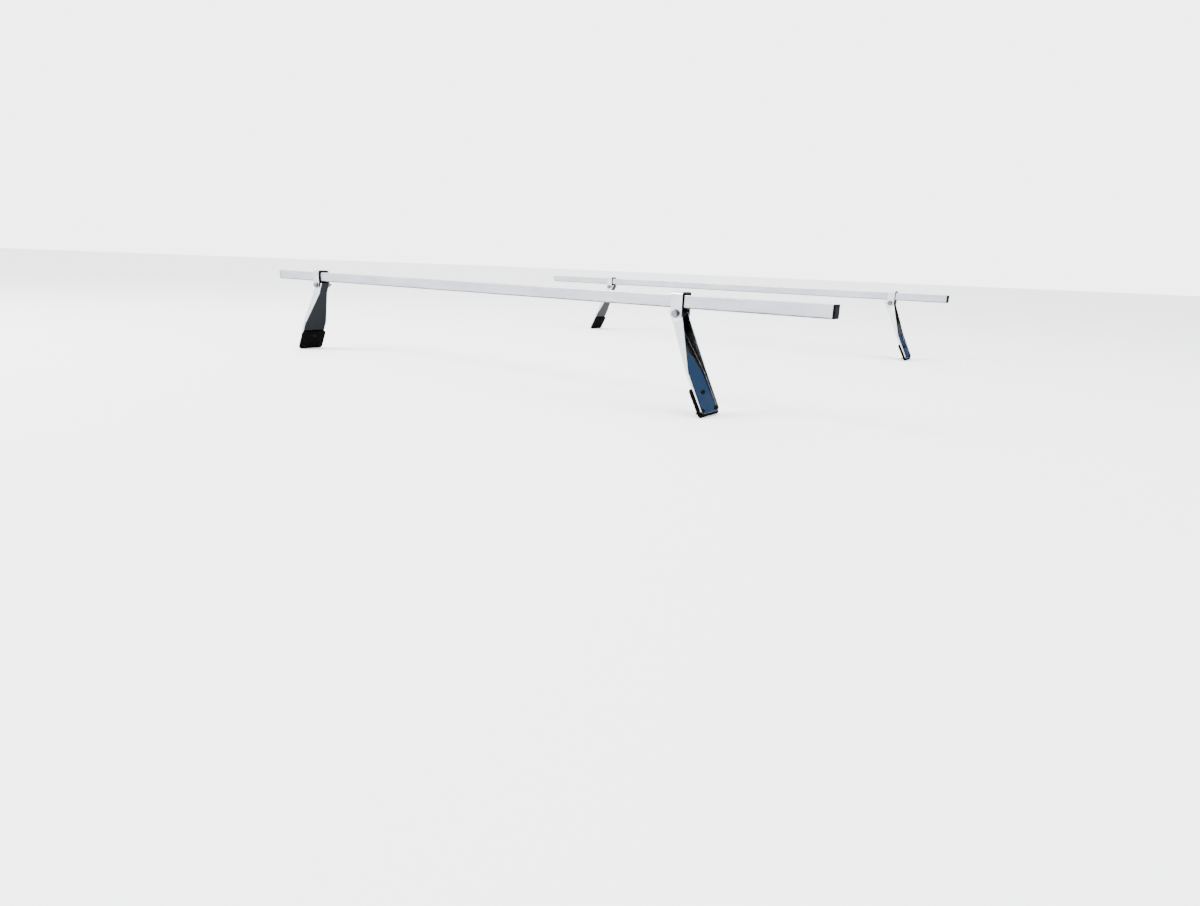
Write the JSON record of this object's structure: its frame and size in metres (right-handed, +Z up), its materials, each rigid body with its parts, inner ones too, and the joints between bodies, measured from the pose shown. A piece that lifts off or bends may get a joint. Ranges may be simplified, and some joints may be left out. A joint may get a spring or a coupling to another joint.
{
  "type": "truck cap ladder rack",
  "caption": "Low roof rack: a pair of square crossbars in sliding saddles on folded sheet legs that tilt and bolt through rubber pads to the sloping sides of a truck cap.",
  "frame": {"origin": "on the surface the feet stand on, at the middle of the rack's plan", "axes": "+X along the crossbars towards the vehicle's right, +Y towards the front of the vehicle, +Z up"},
  "size_m": [1.914, 1.561, 0.2407],
  "materials": {
    "crossbar_aluminium": "satin extruded",
    "leg_steel": "bright polished sheet",
    "strap_steel": "zinc plated",
    "fastener_zinc": "zinc plated",
    "fastener_black": "black oxide",
    "black_plastic": "moulded",
    "pad_rubber": "matt"
  },
  "bodies": {
    "crossbars": {"crossbar_rear": "crossbar_aluminium", "crossbar_front": "crossbar_aluminium", "end_cap_rear_right": "black_plastic", "end_cap_rear_left": "black_plastic", "end_cap_front_right": "black_plastic", "end_cap_front_left": "black_plastic"},
    "saddle_rear_right": {"saddle_strap_rear_right": "strap_steel", "saddle_liner_rear_right": "pad_rubber", "spacer_sleeve_rear_right": "black_plastic", "cross_bolt_rear_right": "fastener_zinc", "cross_washers_rear_right": "fastener_zinc", "cross_nut_rear_right": "fastener_zinc"},
    "leg_assembly_rear_right": {"leg_rear_right": "leg_steel", "foot_pad_rear_right": "pad_rubber", "foot_bolts_rear_right": "fastener_black"},
    "saddle_rear_left": {"saddle_strap_rear_left": "strap_steel", "saddle_liner_rear_left": "pad_rubber", "spacer_sleeve_rear_left": "black_plastic", "cross_bolt_rear_left": "fastener_zinc", "cross_washers_rear_left": "fastener_zinc", "cross_nut_rear_left": "fastener_zinc"},
    "leg_assembly_rear_left": {"leg_rear_left": "leg_steel", "foot_pad_rear_left": "pad_rubber", "foot_bolts_rear_left": "fastener_black"},
    "saddle_front_right": {"saddle_strap_front_right": "strap_steel", "saddle_liner_front_right": "pad_rubber", "spacer_sleeve_front_right": "black_plastic", "cross_bolt_front_right": "fastener_zinc", "cross_washers_front_right": "fastener_zinc", "cross_nut_front_right": "fastener_zinc"},
    "leg_assembly_front_right": {"leg_front_right": "leg_steel", "foot_pad_front_right": "pad_rubber", "foot_bolts_front_right": "fastener_black"},
    "saddle_front_left": {"saddle_strap_front_left": "strap_steel", "saddle_liner_front_left": "pad_rubber", "spacer_sleeve_front_left": "black_plastic", "cross_bolt_front_left": "fastener_zinc", "cross_washers_front_left": "fastener_zinc", "cross_nut_front_left": "fastener_zinc"},
    "leg_assembly_front_left": {"leg_front_left": "leg_steel", "foot_pad_front_left": "pad_rubber", "foot_bolts_front_left": "fastener_black"}
  },
  "joints": [
    {"name": "saddle_slide_rear_right", "type": "slide", "parent": "crossbars", "child": "saddle_rear_right", "axis": [1, 0, 0], "range_m": [-0.5, 0.29]},
    {"name": "leg_tilt_rear_right", "type": "hinge", "parent": "saddle_rear_right", "child": "leg_assembly_rear_right", "pos_m": [0.64, -0.7415, 0.1984], "axis": [0, -1, 0], "range_deg": [-12, 15]},
    {"name": "saddle_slide_rear_left", "type": "slide", "parent": "crossbars", "child": "saddle_rear_left", "axis": [-1, 0, 0], "range_m": [-0.5, 0.19]},
    {"name": "leg_tilt_rear_left", "type": "hinge", "parent": "saddle_rear_left", "child": "leg_assembly_rear_left", "pos_m": [-0.618, -0.7415, 0.1984], "axis": [0, 1, 0], "range_deg": [-12, 15]},
    {"name": "saddle_slide_front_right", "type": "slide", "parent": "crossbars", "child": "saddle_front_right", "axis": [1, 0, 0], "range_m": [-0.5, 0.17]},
    {"name": "leg_tilt_front_right", "type": "hinge", "parent": "saddle_front_right", "child": "leg_assembly_front_right", "pos_m": [0.64, 0.7415, 0.1984], "axis": [0, -1, 0], "range_deg": [-12, 15]},
    {"name": "saddle_slide_front_left", "type": "slide", "parent": "crossbars", "child": "saddle_front_left", "axis": [-1, 0, 0], "range_m": [-0.5, 0.31]},
    {"name": "leg_tilt_front_left", "type": "hinge", "parent": "saddle_front_left", "child": "leg_assembly_front_left", "pos_m": [-0.618, 0.7415, 0.1984], "axis": [0, 1, 0], "range_deg": [-12, 15]}
  ]
}
